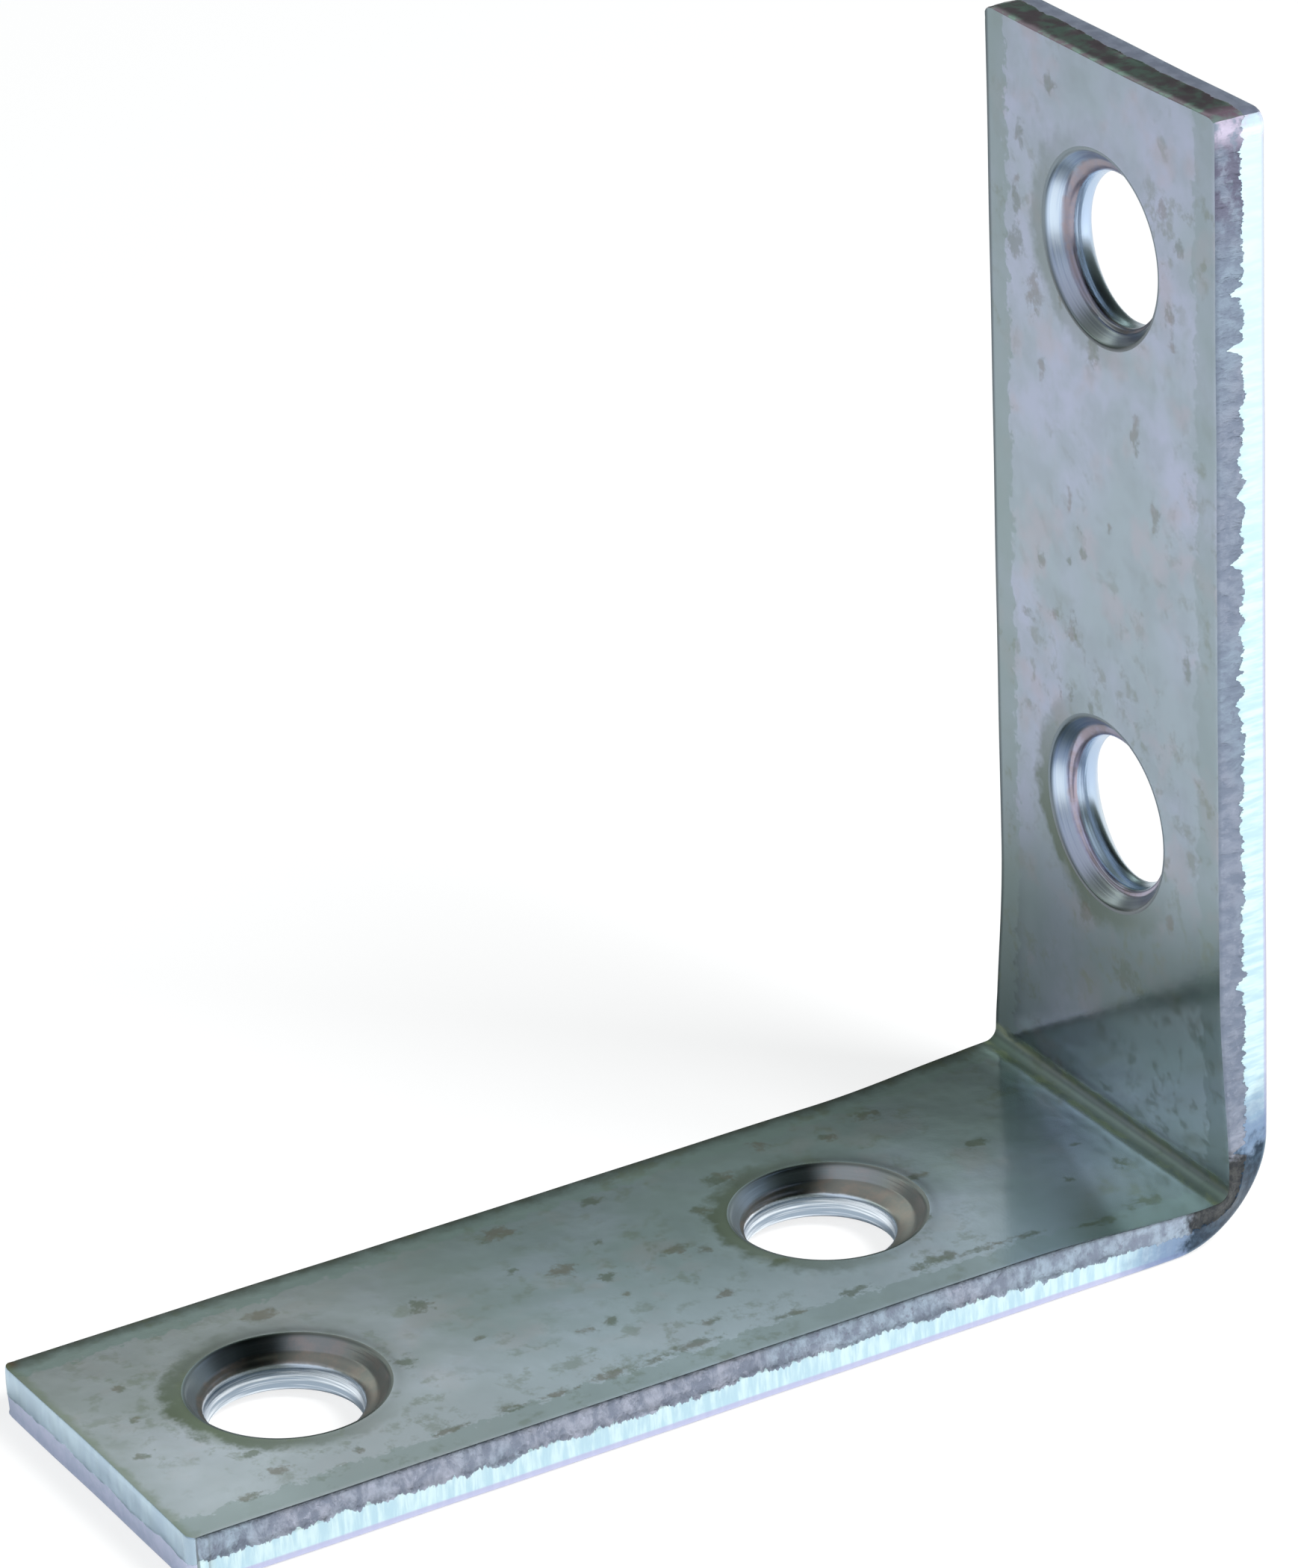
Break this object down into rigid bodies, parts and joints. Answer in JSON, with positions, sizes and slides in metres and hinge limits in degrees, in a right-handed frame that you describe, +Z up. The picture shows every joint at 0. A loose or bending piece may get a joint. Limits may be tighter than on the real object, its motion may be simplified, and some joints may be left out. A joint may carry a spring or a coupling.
{
  "type": "angle bracket",
  "caption": "Bent steel corner brace with equal legs and countersunk screw holes, for joining two members at a right angle.",
  "frame": {"origin": "middle of the strip's width on the underside plane, halfway between the foot's end and the upright's outer face", "axes": "+Z up along the upright, +X out of the upright's outer face (the foot runs along -X), Y across the strip"},
  "size_m": [0.05, 0.0178, 0.0492],
  "materials": {
    "zinc_steel": "bright zinc plating, satin, softly blotched, with sheared edges"
  },
  "bodies": {
    "root": {"bracket": "zinc_steel"}
  },
  "joints": []
}
